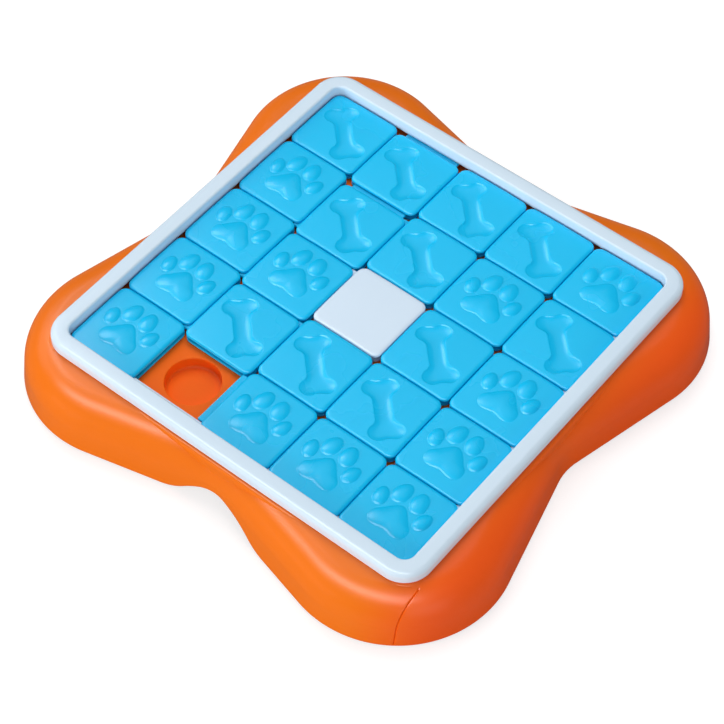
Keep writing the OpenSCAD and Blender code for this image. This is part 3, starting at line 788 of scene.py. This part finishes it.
foot = {"at": 123.785, "pad": 9.0, "padTop": 1.6, "edge": 0.8, "topEdge": 0.2, "plug": 6.8, "plugTop": 8.6,
        "plugEdge": 0.6, "ring": 5.4, "ringWidth": 0.7, "ringDepth": 0.35, "middle": 0.3,
        "steps": 64, "edgeSteps": 6, "plugSteps": 4}


# pad and plug as one profile turned about the foot's axis, with a shallow grip groove in the underside
def footPart(centre):
    p, e, te, top, m = foot["pad"], foot["edge"], foot["topEdge"], foot["padTop"], foot["middle"]
    g, w, d = foot["ring"], foot["ringWidth"], foot["ringDepth"]
    plug, pe, high = foot["plug"], foot["plugEdge"], foot["plugTop"]
    profile = np.vstack([[(m, 0), (g - w, 0), (g - w * 0.5, d), (g + w * 0.5, d), (g + w, 0)],
                         arc(p - e, e, e, -90, 0, foot["edgeSteps"]),
                         [(p, top - te), (p - te, top), (plug, top)],
                         arc(plug - pe, high - pe, pe, 0, 90, foot["plugSteps"]), [(m, high)]])
    return capped(turn(profile, foot["steps"], centre))


for name, sx, sy in (("front_left", -1, -1), ("front_right", 1, -1),
                     ("back_left", -1, 1), ("back_right", 1, 1)):
    addPiece("rubberFoot_" + name, [footPart((sx * foot["at"], sy * foot["at"]))], footRubber, "tray",
             ["foot_" + name], sharp=40)

screw = {
    "head": 2.8, "headBottom": 20.6, "headTop": 22.6, "headEdge": 0.5, "dome": 0.27, "shank": 1.5,
    "plainShank": 1.4, "shankTop": 37.6, "pitch": 0.9, "thread": 0.28, "threadStart": 27.0, "threadGrow": 1.5,
    "slotLong": 1.5, "slotWide": 0.34, "slotDeep": 1.0, "slotEdge": (0.12, 0.2), "taper": 0.9,
    "neckShare": 0.8, "tipShare": 0.45, "tipLong": 0.3, "point": 0.1, "middleShare": 0.04,
    "steps": 64, "edgeSteps": 5, "faceRows": 26, "shankRows": 110,
}


# pan head (dome c r^2, edge arc) with a cross recess, and a shank whose radius follows the helix
# z / pitch - a / 2 pi: a triangle wave of the thread's depth that grows in where the thread starts
def screwPart(centre):
    steps, head, e, top = screw["steps"], screw["head"], screw["headEdge"], screw["headTop"]
    a = np.linspace(0, 2 * np.pi, steps, endpoint=False)
    r = np.linspace(screw["middleShare"], 1, screw["faceRows"]) * (head - e)
    bottom = screw["headBottom"] + screw["dome"] * (r / head) ** 2
    x, y = r[:, None] * np.cos(a), r[:, None] * np.sin(a)
    u, v = np.minimum(np.abs(x), np.abs(y)), np.maximum(np.abs(x), np.abs(y))
    inCross = smooth((screw["slotWide"] - u) / screw["slotEdge"][0] + 0.5) \
        * smooth((screw["slotLong"] - v) / screw["slotEdge"][1] + 0.5)
    face = np.dstack([x, y, bottom[:, None] + screw["slotDeep"] * inCross])
    side = turn(np.vstack([arc(head - e, bottom[-1] + e, e, -90, 0, screw["edgeSteps"])[1:],
                           [(head, top), (screw["shank"] * screw["neckShare"], top)]]), steps)
    end = screw["shankTop"]
    z = np.linspace(top, end - screw["taper"], screw["shankRows"])[:, None]
    wave = (z / screw["pitch"] - a / (2 * np.pi)) % 1
    above = z - screw["threadStart"]
    ridge = screw["thread"] * (1 - np.abs(2 * wave - 1)) * smooth(above / screw["threadGrow"])
    radius = np.where(above < 0, screw["plainShank"], screw["shank"] - screw["thread"] + ridge)
    shank = np.dstack([radius * np.cos(a), radius * np.sin(a), z + 0 * a])
    tip = turn([(screw["shank"] * screw["tipShare"], end - screw["tipLong"]), (screw["point"], end)], steps)
    return placed(capped(np.concatenate([face, side, shank, tip])), (*centre, 0))


addPiece("frameScrews", [screwPart(spot) for spot in bossSpots], screwSteel, "tray", ["frame_screws"],
         sharp=40)
print("frame, feet and screws made")


# Floor, light and camera

studio = {
    "floor": 6.0, "paper": "b2b2b2", "glow": 0.68, "paperLit": "cccccc", "paperMirrored": "6a6a6a",
    "ambient": 0.34, "white": 1.0, "mirrored": 0.03,
}
bpy.ops.mesh.primitive_plane_add(size=studio["floor"], location=(0, 0, 0))
floor = bpy.context.active_object
floor.name = "studioFloor"
paper = bpy.data.materials.new("matteBackdropPaper")
paper.use_nodes = True
tree = paper.node_tree
tree.nodes.clear()
out = addNode(tree, "ShaderNodeOutputMaterial")
# to the camera pale paper with a glow of its own, so it is nearly white and still shows the shadow;
# plain paper to the light, and darker to anything glossy
diffuse = addNode(tree, "ShaderNodeBsdfDiffuse", {"Color": linear(studio["paper"])})
glow = addNode(tree, "ShaderNodeEmission", {"Color": linear("ffffff"), "Strength": studio["glow"]})
both = addNode(tree, "ShaderNodeAddShader", {0: diffuse.outputs[0], 1: glow.outputs[0]})
path = addNode(tree, "ShaderNodeLightPath")
lit = addNode(tree, "ShaderNodeBsdfDiffuse", {"Color": linear(studio["paperLit"])})
dark = addNode(tree, "ShaderNodeBsdfDiffuse", {"Color": linear(studio["paperMirrored"])})
other = addNode(tree, "ShaderNodeMixShader", {
    0: path.outputs["Is Glossy Ray"], 1: lit.outputs[0], 2: dark.outputs[0]})
seen = addNode(tree, "ShaderNodeMixShader", {
    0: path.outputs["Is Camera Ray"], 1: other.outputs[0], 2: both.outputs[0]})
tree.links.new(seen.outputs[0], out.inputs["Surface"])
floor.data.materials.append(paper)

# the world is white to the camera, a soft level for the light, and nearly dark to anything glossy
world = bpy.data.worlds.new("studio")
bpy.context.scene.world = world
world.use_nodes = True
tree = world.node_tree
tree.nodes.clear()
out = addNode(tree, "ShaderNodeOutputWorld")
path = addNode(tree, "ShaderNodeLightPath")
soft, mirrored, plain = [
    addNode(tree, "ShaderNodeBackground", {"Color": linear("ffffff"), "Strength": studio[level]})
    for level in ("ambient", "mirrored", "white")]
other = addNode(tree, "ShaderNodeMixShader", {
    0: path.outputs["Is Glossy Ray"], 1: soft.outputs[0], 2: mirrored.outputs[0]})
seen = addNode(tree, "ShaderNodeMixShader", {
    0: path.outputs["Is Camera Ray"], 1: other.outputs[0], 2: plain.outputs[0]})
tree.links.new(seen.outputs[0], out.inputs["Surface"])


# direction, distance in metres, (width, height), watts, and what the lamp does: "shade" lamps light the
# object and leave no mirror image, "gloss" lamps are only seen as a highlight
lamps = {
    "keyLight": ((-0.42, -0.88, 0.21), 3.0, (1.8, 0.9), 59, "shade"),         # low, from the front
    "overheadLight": ((-0.35, 0.35, 0.87), 3.0, (2.0, 2.0), 52, "shade"),     # tops and the far sides
    "fillLight": ((0.85, -0.45, 0.30), 3.0, (1.6, 1.6), 29, "shade"),         # the side away from the key
    "stripLight": ((-0.02, -0.48, 0.88), 2.24, (3.0, 0.55), 40, "gloss"),     # line along the shoulders
    "hazeLight": ((-0.64, 0.16, 0.75), 2.2, (0.7, 0.7), 7.5, "gloss"),        # sheen on the tile tops
    "sheenLight": ((-0.85, -0.06, 0.50), 2.2, (1.3, 0.9), 5, "gloss"),        # sheen on bones and far rims
}


# an area light of that size at distance * direction, facing the origin
def softbox(name, direction, distance, size, power, use):
    light = bpy.data.lights.new(name, "AREA")
    light.shape, light.energy = "RECTANGLE", power
    light.size, light.size_y = size
    lamp = bpy.data.objects.new(name, light)
    bpy.context.scene.collection.objects.link(lamp)
    d = Vector(direction).normalized()
    lamp.location = d * distance
    lamp.rotation_euler = d.to_track_quat("Z", "Y").to_euler()
    lamp.visible_glossy, lamp.visible_diffuse = use == "gloss", use == "shade"


for name, values in lamps.items():
    softbox(name, *values)

# the camera looks along -back, where back = (sin a cos e, -cos a cos e, sin e), at a point on the Z axis that
# is shifted sideways and up in the camera's own plane
view = {
    "azimuth": 38.46, "elevation": 53.2, "roll": 0.32, "distance": 1263.33, "shift": (-4.33, -29.21),
    "aimUp": 35.0, "focalPixels": 2251.56, "pixels": 724, "sensor": 36.0, "clip": (0.05, 20),
}
a, e, roll = (float(rad(view[key])) for key in ("azimuth", "elevation", "roll"))
back = Vector((sin(a) * cos(e), -cos(a) * cos(e), sin(e)))
right = Vector((cos(a), sin(a), 0))
up = back.cross(right)
right, up = cos(roll) * right + sin(roll) * up, cos(roll) * up - sin(roll) * right
shift, aim = view["shift"], Vector((0, 0, view["aimUp"]))
spot = back * view["distance"] + right * shift[0] + up * shift[1] + aim
camera = bpy.data.cameras.new("camera")
camera.sensor_width = view["sensor"]
camera.lens = view["focalPixels"] / view["pixels"] * camera.sensor_width
camera.clip_start, camera.clip_end = view["clip"]
eye = bpy.data.objects.new("camera", camera)
bpy.context.scene.collection.objects.link(eye)
eye.matrix_world = Matrix(((right.x, up.x, back.x, spot.x * mm), (right.y, up.y, back.y, spot.y * mm),
                           (right.z, up.z, back.z, spot.z * mm), (0, 0, 0, 1)))
bpy.context.scene.camera = eye
bpy.context.scene.view_settings.view_transform = "Standard"
print("stage set")
